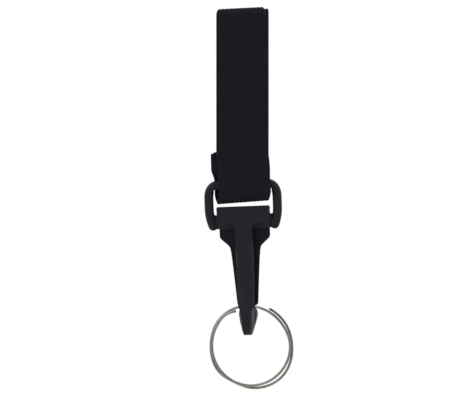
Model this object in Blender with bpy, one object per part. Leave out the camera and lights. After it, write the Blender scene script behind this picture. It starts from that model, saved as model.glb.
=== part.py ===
# Key holder: a belt-loop strap of flat webbing that carries a moulded snap hook with a
# flexible gate and a split ring. Metres, +Z up, +X to the right, the front faces -Y.
# The origin is where a belt bears inside the strap's top fold.

import math

import bmesh
import bpy
import numpy as np
from mathutils import Matrix, Vector

for old in list(bpy.data.objects):
    bpy.data.objects.remove(old, do_unlink=True)

# Shared fits
FIT_GAP = 0.0003  # between pieces that lie on one another
OVERRUN = 0.002  # how far a cutter or a hidden end runs past its face
SOFT_EDGE = math.radians(30)  # flatter edges than this are shaded smooth

# Webbing strap
WEBBING_WIDTH = 0.0254
WEBBING_THICKNESS = 0.0015
SELVEDGE_RADIUS = 0.0005  # rounding of the webbing's edges
LOOP_GAP = 0.0054  # clear depth of the belt loop
LOOP_HEIGHT = 0.0686  # from the origin down to the sewn stack
LOOP_EASE = 0.0200  # height over which the legs close to the stack
STACK_HEIGHT = 0.0087  # sewn stack of three layers
BAR_BELOW_STACK = 0.0070  # from the stack to the web bar's centre
LOOP_SLACK = 0.0047  # from the web bar's centre to the lower fold's centre
TAIL_SHIFT = 0.0027  # the tail's cut end lies this far to the left behind the front
TAIL_SHIFT_LOW = 0.0024  # and at the stack's lower end
FRONT_SHIFT = 0.0010  # the front drifts to the right at the stack's lower end
TAIL_EARLY = 2  # how many times sooner the tail's shift ends than its way to the bar
BAR_SHIFT = 0.0013  # to the right in front of the web bar and to the left behind it
LOW_SHIFT = 0.0015  # the same at the lower fold
TOP_SLANT = math.radians(2.8)  # the top fold rises to the right
LOW_SLANT = math.radians(2.2)  # and so does the lower fold, on top of the hook's tilt
LEG_STEPS = 4
EASE_STEPS = 8  # where a leg closes to the stack
STACK_STEPS = 5
LOWER_STEPS = 12  # from the stack to the web bar
BAR_STEPS = 3  # from the web bar to the lower fold
FOLD_STEPS = 14

# How the hook hangs in the lower loop
HOOK_TILT = math.radians(-2.14)  # its lower end leans to the right
HOOK_YAW = math.radians(-7.0)  # its right side is turned to the front

# Web frame of the hook
FRAME_BAR = 0.0045  # diameter of the round frame bars
FRAME_WIDTH = 0.0379
FRAME_HEIGHT = 0.0243
FRAME_CORNER = 0.0042  # width of the upper corners' curve on the bars' centre line
CORNER_HEIGHT = 0.0059  # and its height
SLOT_HEIGHT = 0.0123  # clear height between the web bar and the cross bar
CROSS_BAR_HEIGHT = 0.0068  # of the bar that closes the slot on both sides of the head
CROSS_BAR_DEPTH = 0.0038
LOBE_REACH = 0.0016  # how far the side bars lean in towards their rounded lower ends
LOBE_RISE = 0.0085  # the height over which they do
RELIEF_GAP = 0.0001  # of the room cut into the corners for the webbing's edges
RELIEF_SIDES = 48
CORNER_STEPS = 8
LOBE_STEPS = 4
BAR_SIDES = 16

# T head and gate housing
HEAD_WIDTH = 0.0258
HEAD_TOP = 0.0106  # below the web bar's centre
HEAD_HEIGHT = 0.0073
HEAD_SLOPE = 0.0018  # its underside falls this far towards the housing
HEAD_FRONT = 0.0030  # its face lies this far ahead of the frame's middle plane
HEAD_BACK = 0.0019
HEAD_NECK = 0.0016  # height of the sloped underside towards the spine
EDGE_BEVEL = 0.0004
HOUSING_TOP = 0.0136
HOUSING_SLOPE = 0.0034  # the housing's back falls away from the head over this height
HOUSING_FRONT = 0.0002  # behind the frame's middle plane
HOUSING_SHOULDER_SHARE = 0.4  # of the way back from the head at the slope's top
LIP_THICKNESS = 0.0009

# Spine, bend and nose
HOOK_LENGTH = 0.0733  # from the web bar's centre to the tip
SPINE_WIDTH = 0.0084
SPINE_BACK = 0.0005  # rear face of the spine at the head
BEND_FRONT = 0.0063  # the bend bellies this far ahead of the middle plane
NECK_WIDTH = 0.0054  # of the nose's tongue
NOSE_WIDTH = 0.0089
NOSE_THICKNESS = 0.0018
NOSE_OVERLAP = 0.0024  # the nose's tongue stands this far behind the gate's end
EYE_FILLET = 0.0008
EYE_RUN_OUT = 0.0136  # height over which the spine steps forward to the eye

# Gate
GATE_PIVOT_DROP = 0.0204  # below the web bar's centre
GATE_PIVOT_BACK = 0.0026
GATE_BARREL = 0.0030  # diameter
GATE_THICKNESS = 0.0016
GATE_TIP_FRONT = 0.0038  # front face of the gate's tip behind the middle plane
GATE_SHOULDER_INSET = 0.0011  # how much narrower the shoulders are than the head
GATE_SHOULDER_DROP = 0.0045  # straight shoulders below the pivot
GATE_CURVE_DROP = 0.0063  # height of the shoulders' curve into the leaf
GATE_LEAF_WIDTH = 0.0148  # right under the shoulders
GATE_TIP_WIDTH = 0.0101
GATE_END_GAP = 0.0009  # over the eye's floor
GATE_SNAP = 0.0012  # the housing's lips reach this far past the barrel's centre
GATE_BEVEL = 0.0003
GATE_BEVEL_SHARE = 0.25  # of the thickness, where that is less
GATE_CORNER = 0.0013  # rounding of the leaf's end
GATE_FLARE_SHARE = 0.35  # of the leaf's taper that comes right under its shoulders
GATE_END_TURN = math.radians(85)
BARREL_STEPS = 11
SHOULDER_STEPS = 3
LEAF_STEPS = 8
END_STEPS = 3
GROOVE_SIDES = 32

# Split ring
WIRE = 0.0013
RING_RADIUS = 0.0193  # of the wire's centre line, before it springs out of round
TURN_GAP = 0.00042  # between the two turns
RING_SHIFT = 0.0015  # the ring's centre lies to the right of the hook's axis
RING_DROP = 0.0590  # of the wire in the eye below the web bar's centre
RING_FORWARD = 0.0019  # of the wire in the eye ahead of the middle plane
EYE_CLEARANCE = 0.0010  # between the wire and the bend's rear face

# Angles and counts of the ring
FIRST_END = math.radians(111)
LAST_END = math.radians(62)
JOGGLE_FROM = math.radians(66)
JOGGLE_TO = math.radians(108)
RING_SOFT_EDGE = math.radians(40)
RING_STEPS = 150
RING_SIDES = 10

# Places that follow from the sizes above
LEG = (LOOP_GAP + WEBBING_THICKNESS) / 2  # centre line of the belt loop's legs
LAYER = WEBBING_THICKNESS + FIT_GAP  # pitch of the sewn layers
BAR_LEG = (FRAME_BAR + WEBBING_THICKNESS) / 2 + FIT_GAP
STACK_TOP = -LOOP_HEIGHT
STACK_BOTTOM = STACK_TOP - STACK_HEIGHT
BAR_Z = STACK_BOTTOM - BAR_BELOW_STACK
SEAT_DROP = RING_DROP + WIRE / 2 + FIT_GAP  # floor of the eye
EYE_FRONT = -(RING_FORWARD + WIRE / 2 + EYE_CLEARANCE)
GATE_SHOULDER_WIDTH = HEAD_WIDTH - GATE_SHOULDER_INSET
NOSE_FRONT = GATE_TIP_FRONT + GATE_THICKNESS + FIT_GAP
NOSE_BACK = NOSE_FRONT + NOSE_THICKNESS
GATE_END_DROP = SEAT_DROP - GATE_END_GAP
NOSE_TOP_DROP = GATE_END_DROP - NOSE_OVERLAP


def material(name, colour, roughness, metallic=0.0):
    made = bpy.data.materials.new(name)
    made.use_nodes = True
    shader = made.node_tree.nodes["Principled BSDF"]
    shader.inputs["Base Color"].default_value = (*colour, 1.0)
    shader.inputs["Roughness"].default_value = roughness
    shader.inputs["Metallic"].default_value = metallic
    return made


def add_object(name, mesh, parent=None):
    made = bpy.data.objects.new(name, mesh)
    bpy.context.collection.objects.link(made)
    made.parent = parent
    return made


def add_empty(name, location, parent=None, rotation=(0, 0, 0)):
    made = add_object(name, None, parent)
    made.location = location
    made.rotation_euler = rotation
    return made


def finish(bm, name, parent=None, smooth=None):
    bmesh.ops.recalc_face_normals(bm, faces=bm.faces)
    mesh = bpy.data.meshes.new(name)
    bm.to_mesh(mesh)
    bm.free()
    if smooth is not None:
        mesh.shade_smooth()
        mesh.set_sharp_from_angle(angle=smooth)
    return add_object(name, mesh, parent)


def loft(rings, endless=False):
    """A closed solid through rings of points, all with the same count."""
    bm = bmesh.new()
    loops = [[bm.verts.new(point) for point in ring] for ring in rings]
    for lower, upper in zip(loops, loops[1:] + loops[:1] if endless else loops[1:]):
        for i, corner in enumerate(lower):
            after = (i + 1) % len(lower)
            bm.faces.new((corner, lower[after], upper[after], upper[i]))
    if not endless:
        bm.faces.new(loops[0])
        bm.faces.new(reversed(loops[-1]))
    return bm


def boolean(target, other, operation):
    change = target.modifiers.new(operation.lower(), "BOOLEAN")
    change.operation = operation
    change.solver = "EXACT"
    change.object = other
    other.hide_render = True
    other.display_type = "WIRE"


def smooth_share(value):
    value = min(max(value, 0.0), 1.0)
    return value * value * (3 - 2 * value)


def between(low, high, share):
    return low + (high - low) * share


def spread(low, high, steps):
    """Even steps from low to high, without low."""
    return [between(low, high, (i + 1) / steps) for i in range(steps)]


def eased(start, end, steps, early=1):
    """Points from start to end whose depth and shift follow an S curve, without the first.

    Above 1, early is how many times sooner the sideways shift has ended.
    """
    points = []
    for share in spread(0.0, 1.0, steps):
        shares = (smooth_share(share), share, smooth_share(share * early))
        points.append(tuple(between(a, b, part) for a, b, part in zip(start, end, shares)))
    return points


def fold(centre, radius, shift, towards, steps):
    """A half turn of webbing about a centre height, below it or, towards 1, above it."""
    points = []
    for share in spread(0.0, 1.0, steps):
        depth = -towards * radius * math.cos(math.pi * share)
        height = centre + towards * radius * math.sin(math.pi * share)
        points.append((depth, height, between(*shift, share)))
    return points


# Webbing strap


def strap_route():
    """The webbing's centre line from its tail to its back end: (depth, height, shift)."""
    fold_low = BAR_Z - LOOP_SLACK
    fold_high = WEBBING_THICKNESS / 2 - LEG
    ease_top = STACK_TOP + LOOP_EASE
    route = [(0.0, STACK_TOP, -TAIL_SHIFT)]
    route += eased(route[-1], (0.0, STACK_BOTTOM, -TAIL_SHIFT_LOW), STACK_STEPS)
    route += eased(route[-1], (BAR_LEG, BAR_Z, -BAR_SHIFT), LOWER_STEPS, TAIL_EARLY)
    route += eased(route[-1], (BAR_LEG, fold_low, -LOW_SHIFT), BAR_STEPS)
    route += fold(fold_low, BAR_LEG, (-LOW_SHIFT, LOW_SHIFT), -1, FOLD_STEPS)
    route += eased(route[-1], (-BAR_LEG, BAR_Z, BAR_SHIFT), BAR_STEPS)
    route += eased(route[-1], (-LAYER, STACK_BOTTOM, FRONT_SHIFT), LOWER_STEPS)
    route += eased(route[-1], (-LAYER, STACK_TOP, 0.0), STACK_STEPS)
    route += eased(route[-1], (-LEG, ease_top, 0.0), EASE_STEPS)
    route += eased(route[-1], (-LEG, fold_high, 0.0), LEG_STEPS)
    route += fold(fold_high, LEG, (0.0, 0.0), 1, FOLD_STEPS)
    route += eased(route[-1], (LEG, ease_top, 0.0), LEG_STEPS)
    route += eased(route[-1], (LAYER, STACK_TOP, 0.0), EASE_STEPS)
    route += eased(route[-1], (LAYER, STACK_BOTTOM + FIT_GAP, 0.0), STACK_STEPS)
    return route


def with_hook(point):
    """The strap's lower end turns with the hook, from none at the stack to all at the bar."""
    share = smooth_share((STACK_TOP - point.z) / (STACK_TOP - BAR_Z))
    centre = Vector((0, 0, BAR_Z))
    turn = Matrix.Rotation(HOOK_YAW * share, 3, "Z") @ Matrix.Rotation(HOOK_TILT * share, 3, "Y")
    return centre + turn @ (point - centre)


def slanted(height, across):
    """How far a point is raised by the slant of the top fold or of the lower one."""
    above = smooth_share(1 + height / LOOP_GAP)
    below = smooth_share((BAR_Z - height) / LOOP_SLACK)
    return across * (above * math.tan(TOP_SLANT) + below * math.tan(LOW_SLANT))


def build_strap():
    half = WEBBING_WIDTH / 2
    thick = WEBBING_THICKNESS / 2
    inset = SELVEDGE_RADIUS
    section = [
        (half, thick - inset),
        (half - inset, thick),
        (inset - half, thick),
        (-half, thick - inset),
        (-half, inset - thick),
        (inset - half, -thick),
        (half - inset, -thick),
        (half, inset - thick),
    ]
    route = strap_route()
    line = np.array([(depth, height) for depth, height, _ in route])
    along = np.gradient(line, axis=0)
    along /= np.linalg.norm(along, axis=1)[:, None]
    rings = []
    for (depth, height, shift), (run_y, run_z) in zip(route, along):
        rings.append(
            [
                with_hook(
                    Vector(
                        (x + shift, depth + run_z * out, height - run_y * out + slanted(height, x))
                    )
                )
                for x, out in section
            ]
        )
    strap = finish(loft(rings), "webbing_strap", smooth=SOFT_EDGE)
    strap.data.materials.append(material("black webbing", (0.012, 0.011, 0.014), 0.85))
    return strap


# Snap hook


def frame_half():
    """Half of the frame from a side bar's rounded end up to the web bar: (x, drop, radius)."""
    side = (FRAME_WIDTH - FRAME_BAR) / 2
    radius = FRAME_BAR / 2
    low = FRAME_HEIGHT - FRAME_BAR
    points = []
    for i in range(LOBE_STEPS):
        angle = math.pi / 2 * (i + 0.5) / LOBE_STEPS
        points.append((side - LOBE_REACH, low + radius * math.cos(angle), radius * math.sin(angle)))
    for i in range(CORNER_STEPS + 1):
        share = i / CORNER_STEPS
        points.append((side - LOBE_REACH * (1 - share) ** 2, low - LOBE_RISE * share, radius))
    for i in range(CORNER_STEPS + 1):
        angle = math.pi / 2 * i / CORNER_STEPS
        out = FRAME_CORNER * (1 - math.cos(angle))
        points.append((side - out, CORNER_HEIGHT * (1 - math.sin(angle)), radius))
    return points


def bar(line, tall_share, name, parent):
    """A bar along (x, drop, radius) points, closed at both ends; taller than round by a share."""
    rings = []
    for i, (x, drop, radius) in enumerate(line):
        before = line[max(i - 1, 0)]
        after = line[min(i + 1, len(line) - 1)]
        out = Vector((after[1] - before[1], 0, after[0] - before[0])).normalized()
        turns = [2 * math.pi * k / BAR_SIDES for k in range(BAR_SIDES)]
        centre = Vector((x, 0, -drop))
        depth = Vector((0, 1, 0))
        up = out * tall_share
        rings.append([centre + (up * math.cos(a) + depth * math.sin(a)) * radius for a in turns])
    return finish(loft(rings), name, parent)


def build_frame(parent):
    half = frame_half()
    line = half + [(-x, drop, radius) for x, drop, radius in reversed(half)]
    return bar(line, 1, "frame", parent)


def build_cross_bar(parent):
    side = (FRAME_WIDTH - FRAME_BAR) / 2
    drop = (FRAME_BAR + CROSS_BAR_HEIGHT) / 2 + SLOT_HEIGHT
    ends = [(x, drop, CROSS_BAR_DEPTH / 2) for x in (side - LOBE_REACH, LOBE_REACH - side)]
    return bar(ends, CROSS_BAR_HEIGHT / CROSS_BAR_DEPTH, "cross_bar", parent)


def build_relief(parent):
    """The cutter that clears the frame's inner corners round the web bar for the webbing."""
    half = WEBBING_WIDTH / 2 + LOW_SHIFT + RELIEF_GAP
    inner = FRAME_BAR / 2 + RELIEF_GAP
    corners = ((-half, inner), (half, inner), (half, CORNER_HEIGHT), (-half, CORNER_HEIGHT))
    turns = [2 * math.pi * k / RELIEF_SIDES for k in range(RELIEF_SIDES)]
    rings = [[(x, reach * math.sin(a), reach * math.cos(a)) for x, reach in corners] for a in turns]
    return finish(loft(rings, endless=True), "corner_relief", parent)


def head_outline(slope):
    half = HEAD_WIDTH / 2
    stem = SPINE_WIDTH / 2
    bottom = HEAD_TOP + HEAD_HEIGHT + slope
    right = [
        (half, HEAD_TOP),
        (half, bottom),
        (half - HEAD_NECK, bottom + HEAD_NECK / 2),
        (stem + HEAD_NECK, bottom + HEAD_NECK / 2),
        (stem, bottom + HEAD_NECK),
    ]
    return right + [(-x, drop) for x, drop in reversed(right)]


def build_head(parent):
    layers = ((0.0, -HEAD_FRONT), (HEAD_SLOPE, HOUSING_FRONT), (HEAD_SLOPE, HEAD_BACK))
    bm = loft([[(x, y, -drop) for x, drop in head_outline(slope)] for slope, y in layers])
    bmesh.ops.recalc_face_normals(bm, faces=bm.faces)
    bmesh.ops.bevel(bm, geom=bm.edges[:], offset=EDGE_BEVEL, segments=1, profile=0.5, affect="EDGES")
    return finish(bm, "t_head", parent)


def build_housing(parent):
    """The block behind the head, whose lips hold the gate's barrel."""
    half = GATE_SHOULDER_WIDTH / 2
    back = GATE_PIVOT_BACK + GATE_BARREL / 2 + FIT_GAP + LIP_THICKNESS
    low = GATE_PIVOT_DROP + GATE_SNAP
    profile = [
        (HOUSING_FRONT, low),
        (back - EDGE_BEVEL, low),
        (back, low - LIP_THICKNESS),
        (back, HOUSING_TOP + HOUSING_SLOPE),
        (between(HEAD_BACK, back, HOUSING_SHOULDER_SHARE), HOUSING_TOP + EDGE_BEVEL),
        (HEAD_BACK - EDGE_BEVEL, HOUSING_TOP),
        (HOUSING_FRONT, HOUSING_TOP),
    ]
    bm = loft([[(x, y, -drop) for y, drop in profile] for x in (-half, half)])
    bmesh.ops.recalc_face_normals(bm, faces=bm.faces)
    bmesh.ops.bevel(bm, geom=bm.edges[:], offset=EDGE_BEVEL, segments=1, profile=0.5, affect="EDGES")
    return finish(bm, "gate_housing", parent)


def build_groove(parent):
    """The cutter that leaves the barrel its room in the housing and the head."""
    groove = bmesh.new()
    bmesh.ops.create_cone(
        groove,
        cap_ends=True,
        segments=GROOVE_SIDES,
        radius1=GATE_BARREL / 2 + FIT_GAP,
        radius2=GATE_BARREL / 2 + FIT_GAP,
        depth=GATE_SHOULDER_WIDTH + OVERRUN,
    )
    place = Matrix.Translation((0, GATE_PIVOT_BACK, -GATE_PIVOT_DROP))
    bmesh.ops.transform(groove, matrix=place @ Matrix.Rotation(math.pi / 2, 4, "Y"), verts=groove.verts)
    return finish(groove, "barrel_groove", parent)


# Rows of the spine above the eye: share of the way from the head to where it steps forward,
# then half widths of the front flat and of the sides as shares of the spine's width.
SPINE_ROW_SHARES = (
    (0.00, 0.485, 0.500),
    (0.36, 0.490, 0.505),
    (0.54, 0.465, 0.510),
    (0.77, 0.345, 0.505),
    (1.00, 0.262, 0.500),
)
# Rows where it steps forward: share of the step's height, share of the way forward of the
# front face and of the rear face, then half widths as above.
STEP_ROW_SHARES = (
    (0.30, 0.09, 0.28, 0.238, 0.494),
    (0.59, 0.36, 0.62, 0.232, 0.488),
    (0.85, 0.64, 0.86, 0.220, 0.476),
)
SPINE_SECTION_SHARES = (0.0, 0.42, 0.54, 0.66, 0.78, 0.90, 1.0)
REAR_BEVEL_SHARE = 0.11  # of the front bevel's width
SPINE_LEAN_SHARE = 0.12  # of the eye's depth that the spine's rear has reached at the step
SPINE_START_SHARE = 0.5  # of the head's height, where the spine leaves it
# Rows round the bend. The outer point is given as shares of the bend's depth and height,
# the inner one as shares of the eye's depth and of its fillet above the floor. Then half
# widths from the outer face to the inner one, as shares of the nose's width.
BEND_ROW_SHARES = (
    (0.050, -0.02, 0.000, 1.60, (0.20, 0.40, 0.42, 0.42, 0.42, 0.42, 0.36)),
    (0.014, 0.15, 0.000, 0.70, (0.17, 0.32, 0.34, 0.34, 0.32, 0.31, 0.24)),
    (0.000, 0.42, 0.070, 0.12, (0.15, 0.30, 0.33, 0.34, 0.34, 0.30, 0.15)),
    (0.022, 0.72, 0.150, 0.00, (0.17, 0.29, 0.31, 0.32, 0.33, 0.30, 0.15)),
    (0.090, 0.93, 0.230, 0.00, (0.19, 0.27, 0.31, 0.32, 0.33, 0.30, 0.15)),
    (0.215, 1.00, 0.310, 0.00, (0.20, 0.28, 0.31, 0.32, 0.33, 0.30, 0.15)),
    (0.450, 0.95, 0.470, 0.00, (0.22, 0.29, 0.32, 0.33, 0.34, 0.30, 0.15)),
    (0.600, 0.83, 0.600, 0.00, (0.27, 0.31, 0.43, 0.46, 0.48, 0.31, 0.15)),
    (0.880, 0.55, 0.800, 0.00, (0.42, 0.47, 0.48, 0.49, 0.50, 0.31, 0.15)),
    (0.985, 0.28, 0.950, 0.30, (0.47, 0.49, 0.49, 0.48, 0.45, 0.31, 0.20)),
    (1.000, 0.11, 1.000, 1.00, (0.29, 0.31, 0.31, 0.31, 0.31, 0.31, 0.28)),
)
BEND_SECTION_SHARES = (0.0, 0.17, 0.33, 0.40, 0.74, 0.86, 1.0)
TONGUE_ROW_SHARES = (0.46, 0.50, 0.50, 0.50, 0.50, 0.50, 0.46)
TONGUE_TOP_SHARES = (0.36, 0.44, 0.44, 0.44, 0.44, 0.44, 0.40)
TONGUE_BACK_SHARE = 0.25  # of the nose's thickness, rounded off behind the tongue's top
TONGUE_FRONT_SHARE = 0.12


def section(outer, inner, widths, shares):
    """A ring of points between an outer and an inner (depth, drop) point."""
    right = []
    for width, share in zip(widths, shares):
        depth = between(outer[0], inner[0], share)
        drop = between(outer[1], inner[1], share)
        right.append((width, depth, -drop))
    return right + [(-x, y, z) for x, y, z in reversed(right)]


def spine_section(drop, front, back, flat_share, side_share):
    inner_share = between(side_share, flat_share, REAR_BEVEL_SHARE)
    sides = [side_share] * (len(SPINE_SECTION_SHARES) - 2)
    widths = [share * SPINE_WIDTH for share in (flat_share, *sides, inner_share)]
    return section((front, drop), (back, drop), widths, SPINE_SECTION_SHARES)


def spine_rows():
    """The spine from the head down, the bend and the nose, as one loft."""
    step_from = SEAT_DROP - EYE_RUN_OUT
    step_back = EYE_FRONT * SPINE_LEAN_SHARE
    start = HEAD_TOP + HEAD_HEIGHT * SPINE_START_SHARE
    rows = []
    for along, flat, side in SPINE_ROW_SHARES:
        drop = between(start, step_from, along)
        back = between(SPINE_BACK, step_back, along**2)
        rows.append(spine_section(drop, -HEAD_FRONT, back, flat, side))
    for along, out, back_out, flat, side in STEP_ROW_SHARES:
        drop = between(step_from, SEAT_DROP, along)
        front = between(-HEAD_FRONT, -BEND_FRONT, out)
        back = between(step_back, EYE_FRONT, back_out)
        rows.append(spine_section(drop, front, back, flat, side))
    for outer_y, outer_z, inner_y, inner_z, halves in BEND_ROW_SHARES:
        outer = (
            between(-BEND_FRONT, NOSE_BACK, outer_y),
            between(SEAT_DROP, HOOK_LENGTH, outer_z),
        )
        inner = (between(EYE_FRONT, NOSE_FRONT, inner_y), SEAT_DROP - EYE_FILLET * inner_z)
        widths = [share * NOSE_WIDTH for share in halves]
        rows.append(section(outer, inner, widths, BEND_SECTION_SHARES))
    tongue = [share * NECK_WIDTH for share in TONGUE_ROW_SHARES]
    low = (SEAT_DROP + NOSE_TOP_DROP) / 2
    rows.append(section((NOSE_BACK, low), (NOSE_FRONT, low), tongue, BEND_SECTION_SHARES))
    rounded = [share * NECK_WIDTH for share in TONGUE_TOP_SHARES]
    top_back = between(NOSE_BACK, NOSE_FRONT, TONGUE_BACK_SHARE)
    top_front = between(NOSE_FRONT, NOSE_BACK, TONGUE_FRONT_SHARE)
    top = ((top_back, NOSE_TOP_DROP), (top_front, NOSE_TOP_DROP))
    rows.append(section(*top, rounded, BEND_SECTION_SHARES))
    return rows


def build_hook(pivot):
    hook = finish(loft(spine_rows()), "snap_hook", pivot)
    boolean(hook, build_head(pivot), "UNION")
    boolean(hook, build_frame(pivot), "UNION")
    boolean(hook, build_cross_bar(pivot), "UNION")
    boolean(hook, build_relief(pivot), "DIFFERENCE")
    boolean(hook, build_housing(pivot), "UNION")
    boolean(hook, build_groove(pivot), "DIFFERENCE")
    hook.data.materials.append(material("black moulding", (0.020, 0.020, 0.022), 0.45))
    return hook


# Gate


def gate_half_width(drop):
    """Half width of the leaf at a drop below the pivot."""
    leaf_top = GATE_SHOULDER_DROP + GATE_CURVE_DROP
    end = GATE_END_DROP - GATE_PIVOT_DROP
    if drop <= leaf_top:
        share = smooth_share((drop - GATE_SHOULDER_DROP) / GATE_CURVE_DROP)
        return between(GATE_SHOULDER_WIDTH, GATE_LEAF_WIDTH, share) / 2
    share = (drop - leaf_top) / (end - leaf_top)
    taper = between(share, math.sqrt(share), GATE_FLARE_SHARE)
    return between(GATE_LEAF_WIDTH, GATE_TIP_WIDTH, taper) / 2


def gate_ring(drop, centre, thick, half):
    bevel = min(GATE_BEVEL, thick * GATE_BEVEL_SHARE)
    corner = [
        (half, thick / 2 - bevel),
        (half - bevel, thick / 2),
        (bevel - half, thick / 2),
        (-half, thick / 2 - bevel),
    ]
    return [(x, centre + y, -drop) for x, y in corner] + [
        (-x, centre - y, -drop) for x, y in corner
    ]


def build_gate(pivot):
    radius = GATE_BARREL / 2
    end = GATE_END_DROP - GATE_PIVOT_DROP
    tip_centre = GATE_TIP_FRONT + GATE_THICKNESS / 2 - GATE_PIVOT_BACK
    leaf_from = math.sqrt(radius**2 - (GATE_THICKNESS / 2) ** 2)
    rings = []
    for i in range(BARREL_STEPS):
        share = (i + 1) / BARREL_STEPS
        angle = math.pi - (math.pi - math.asin(GATE_THICKNESS / GATE_BARREL)) * share
        drop = radius * math.cos(angle)
        thick = GATE_BARREL * math.sin(angle)
        rings.append(gate_ring(drop, 0.0, thick, GATE_SHOULDER_WIDTH / 2))
    leaf_top = GATE_SHOULDER_DROP + GATE_CURVE_DROP
    corner = GATE_CORNER
    steps = spread(leaf_from, GATE_SHOULDER_DROP, SHOULDER_STEPS)
    steps += spread(GATE_SHOULDER_DROP, leaf_top, LEAF_STEPS)
    steps += spread(leaf_top, end - corner, LEAF_STEPS)
    for drop in steps:
        centre = tip_centre * max(drop - leaf_from, 0.0) / (end - leaf_from)
        rings.append(gate_ring(drop, centre, GATE_THICKNESS, gate_half_width(drop)))
    for angle in spread(0.0, GATE_END_TURN, END_STEPS):
        drop = end - corner + corner * math.sin(angle)
        half = GATE_TIP_WIDTH / 2 - corner + corner * math.cos(angle)
        centre = tip_centre * (drop - leaf_from) / (end - leaf_from)
        rings.append(gate_ring(drop, centre, GATE_THICKNESS, half))
    gate = finish(loft(rings), "hook_gate", pivot, smooth=SOFT_EDGE)
    gate.data.materials.append(material("black gate", (0.016, 0.016, 0.018), 0.5))
    return gate


# Split ring

# How the wire springs out of round: angle about the ring's middle in degrees, counted on
# through both turns from the first end to the last, then the distance from the middle as
# a share of the ring's radius.
RING_ROW_SHARES = (
    (111, 0.950),
    (150, 0.965),
    (190, 0.983),
    (245, 0.988),
    (315, 0.998),
    (360, 0.992),
    (395, 0.965),
    (422, 0.978),
    (455, 1.014),
    (485, 1.042),
    (540, 1.022),
    (573, 1.046),
    (605, 1.006),
    (630, 1.038),
    (672, 1.084),
    (722, 1.032),
    (750, 1.036),
    (782, 1.046),
)


def ring_radius(angle):
    """A smooth curve through the table at an angle in radians."""
    places, shares = np.array(RING_ROW_SHARES).T
    slopes = np.gradient(shares, places)
    spot = math.degrees(angle)
    i = min(max(int(np.searchsorted(places, spot)) - 1, 0), len(places) - 2)
    span = places[i + 1] - places[i]
    part = (spot - places[i]) / span
    bend_in = part * (1 - part) ** 2 * span * slopes[i]
    bend_out = part**2 * (1 - part) * span * slopes[i + 1]
    line = between(shares[i], shares[i + 1], part * part * (3 - 2 * part))
    return RING_RADIUS * (line + bend_in - bend_out)


def ring_point(angle):
    """Centre line of the wire about the ring's centre: (x, depth, height)."""
    turn = 2 * math.pi
    joggle = smooth_share((angle - turn - JOGGLE_FROM) / (JOGGLE_TO - JOGGLE_FROM))
    radius = ring_radius(angle)
    depth = (joggle - 0.5) * (WIRE + TURN_GAP)
    return Vector((radius * math.cos(angle), depth, radius * math.sin(angle)))


def least_turn_gap(points):
    """The least clear distance between stretches of wire that aren't neighbours."""
    line = np.array(points)
    apart = np.linalg.norm(line[:, None] - line[None], axis=2)
    steps = abs(np.arange(len(line))[:, None] - np.arange(len(line))[None])
    return apart[steps > len(line) / 4].min() - WIRE


def build_ring(pivot):
    first = FIRST_END
    last = LAST_END + 4 * math.pi
    angles = [between(first, last, i / RING_STEPS) for i in range(RING_STEPS + 1)]
    crossing = 2 * math.pi + math.acos(-RING_SHIFT / RING_RADIUS)
    start = ring_point(crossing)
    points = [ring_point(angle) - start for angle in angles]
    print(f"least gap between the ring's turns: {least_turn_gap(points) * 1000:.2f} mm")
    rings = []
    for i, point in enumerate(points):
        run = points[min(i + 1, RING_STEPS)] - points[max(i - 1, 0)]
        out = Vector((0, 1, 0)).cross(run).normalized()
        side = run.cross(out).normalized()
        reach = WIRE / 2
        rings.append(
            [
                point + out * (reach * math.cos(a)) + side * (reach * math.sin(a))
                for a in (2 * math.pi * k / RING_SIDES for k in range(RING_SIDES))
            ]
        )
    ring = finish(loft(rings), "split_ring", pivot, smooth=RING_SOFT_EDGE)
    ring.data.materials.append(material("nickel wire", (0.42, 0.41, 0.37), 0.3, 1.0))
    return ring


build_strap()
hook_pivot = add_empty("hook_pivot", (0, 0, BAR_Z), rotation=(0, HOOK_TILT, HOOK_YAW))
build_hook(hook_pivot)
gate_pivot = add_empty("gate_pivot", (0, GATE_PIVOT_BACK, -GATE_PIVOT_DROP), hook_pivot)
build_gate(gate_pivot)
ring_pivot = add_empty("ring_pivot", (0, -RING_FORWARD, -RING_DROP), hook_pivot)
build_ring(ring_pivot)
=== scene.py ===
import math

import bmesh
import bpy
import numpy as np
from mathutils import Euler, Matrix, Vector


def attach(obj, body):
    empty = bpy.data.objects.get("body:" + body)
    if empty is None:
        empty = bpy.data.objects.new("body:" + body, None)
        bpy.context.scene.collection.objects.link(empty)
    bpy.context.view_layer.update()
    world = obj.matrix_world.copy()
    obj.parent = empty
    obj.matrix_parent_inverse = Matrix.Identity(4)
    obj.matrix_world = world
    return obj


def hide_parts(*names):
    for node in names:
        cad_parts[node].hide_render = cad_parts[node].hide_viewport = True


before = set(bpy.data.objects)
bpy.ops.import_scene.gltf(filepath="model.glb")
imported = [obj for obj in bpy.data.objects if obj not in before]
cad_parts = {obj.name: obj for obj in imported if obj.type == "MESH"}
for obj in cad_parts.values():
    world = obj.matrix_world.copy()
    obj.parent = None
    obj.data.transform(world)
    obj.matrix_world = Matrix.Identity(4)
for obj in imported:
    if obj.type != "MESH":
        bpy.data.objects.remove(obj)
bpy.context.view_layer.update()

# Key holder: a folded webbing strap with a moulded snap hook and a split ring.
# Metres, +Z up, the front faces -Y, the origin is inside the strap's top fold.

print("frame loaded:", sorted(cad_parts))

# Small helpers


def between(low, high, share):
    return low + (high - low) * share


def smoothShare(value):
    value = min(max(value, 0.0), 1.0)
    return value * value * (3 - 2 * value)


def spread(low, high, steps):
    # even steps from low to high, without low
    return [between(low, high, (i + 1) / steps) for i in range(steps)]


def newObject(name, mesh):
    made = bpy.data.objects.new(name, mesh)
    bpy.context.scene.collection.objects.link(made)
    return made


def meshFrom(bm, name):
    mesh = bpy.data.meshes.new(name)
    bm.to_mesh(mesh)
    bm.free()
    return mesh


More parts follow.
